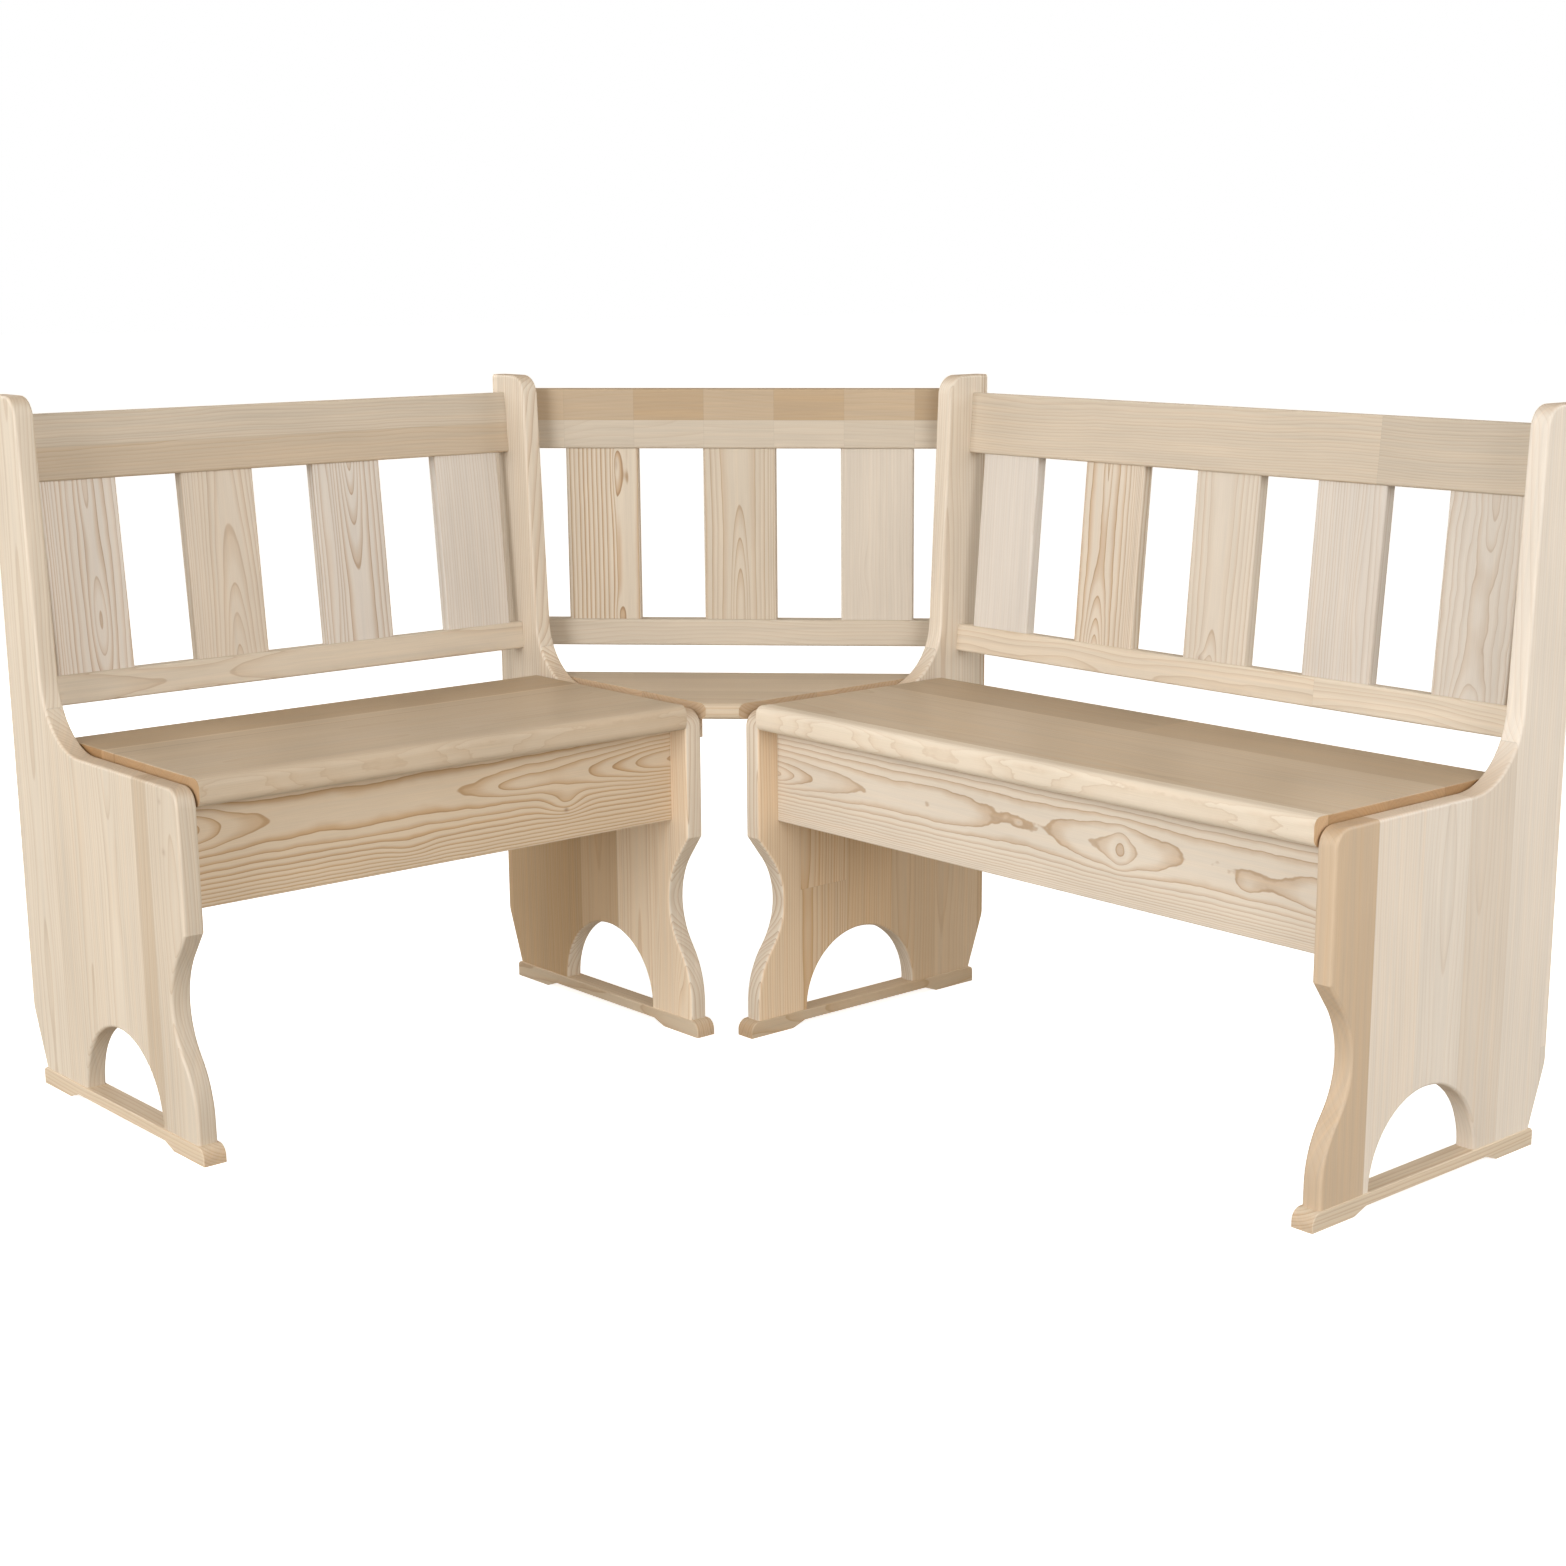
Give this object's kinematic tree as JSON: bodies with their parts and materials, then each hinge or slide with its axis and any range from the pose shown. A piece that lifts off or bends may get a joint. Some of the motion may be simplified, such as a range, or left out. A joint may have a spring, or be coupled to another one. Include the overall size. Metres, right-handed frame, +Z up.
{
  "type": "corner storage bench",
  "caption": "Corner storage bench of pine boards with slatted leaning backs, a corner seat, and hinged seat lids over storage chests.",
  "frame": {"origin": "on the floor, under the middle of the whole bench's box", "axes": "+X along the long bench, away from the room corner; +Y towards the wall behind the long bench; +Z up. The short bench runs along -Y with its back to -X."},
  "size_m": [1.458, 1.248, 0.885],
  "materials": {
    "pine": "clear satin lacquer on solid pine",
    "seat_pine": "clear satin lacquer on glued pine strips",
    "plywood": "raw plywood",
    "dowel_wood": "raw beech",
    "steel": "zinc plated"
  },
  "bodies": {
    "root": {"corner_cleats": "pine", "corner_dowels": "dowel_wood", "corner_lower_rail": "pine", "corner_rear_batten": "pine", "corner_screws": "steel", "corner_seat": "seat_pine", "corner_slat_1": "pine", "corner_slat_2": "pine", "corner_slat_3": "pine", "corner_top_rail": "pine", "left_apron": "pine", "left_chest_back": "pine", "left_chest_bottom": "plywood", "left_chest_cleats": "pine", "left_chest_hinge_leaves": "steel", "left_chest_screws": "steel", "left_corner_foot": "pine", "left_corner_panel": "pine", "left_dowels": "dowel_wood", "left_end_foot": "pine", "left_end_panel": "pine", "left_foot_screws": "steel", "left_hinge_pins": "steel", "left_lower_rail": "pine", "left_slat_1": "pine", "left_slat_2": "pine", "left_slat_3": "pine", "left_slat_4": "pine", "left_top_rail": "pine", "right_apron": "pine", "right_chest_back": "pine", "right_chest_bottom": "plywood", "right_chest_cleats": "pine", "right_chest_hinge_leaves": "steel", "right_chest_screws": "steel", "right_corner_foot": "pine", "right_corner_panel": "pine", "right_dowels": "dowel_wood", "right_end_foot": "pine", "right_end_panel": "pine", "right_foot_screws": "steel", "right_hinge_pins": "steel", "right_lower_rail": "pine", "right_slat_1": "pine", "right_slat_2": "pine", "right_slat_3": "pine", "right_slat_4": "pine", "right_slat_5": "pine", "right_top_rail": "pine"},
    "left_lid": {"left_lid_battens": "pine", "left_lid_board": "seat_pine", "left_lid_hinge_leaves": "steel", "left_lid_lipping": "pine", "left_lid_screws": "steel"},
    "right_lid": {"right_lid_battens": "pine", "right_lid_board": "seat_pine", "right_lid_hinge_leaves": "steel", "right_lid_lipping": "pine", "right_lid_screws": "steel"}
  },
  "joints": [
    {"name": "left_lid_hinge", "type": "hinge", "parent": "root", "child": "left_lid", "pos_m": [-0.6445, -0.235, 0.4405], "axis": [0, -1, 0], "range_deg": [0, 93]},
    {"name": "right_lid_hinge", "type": "hinge", "parent": "root", "child": "right_lid", "pos_m": [0.235, 0.5395, 0.4405], "axis": [-1, 0, 0], "range_deg": [0, 93]}
  ]
}
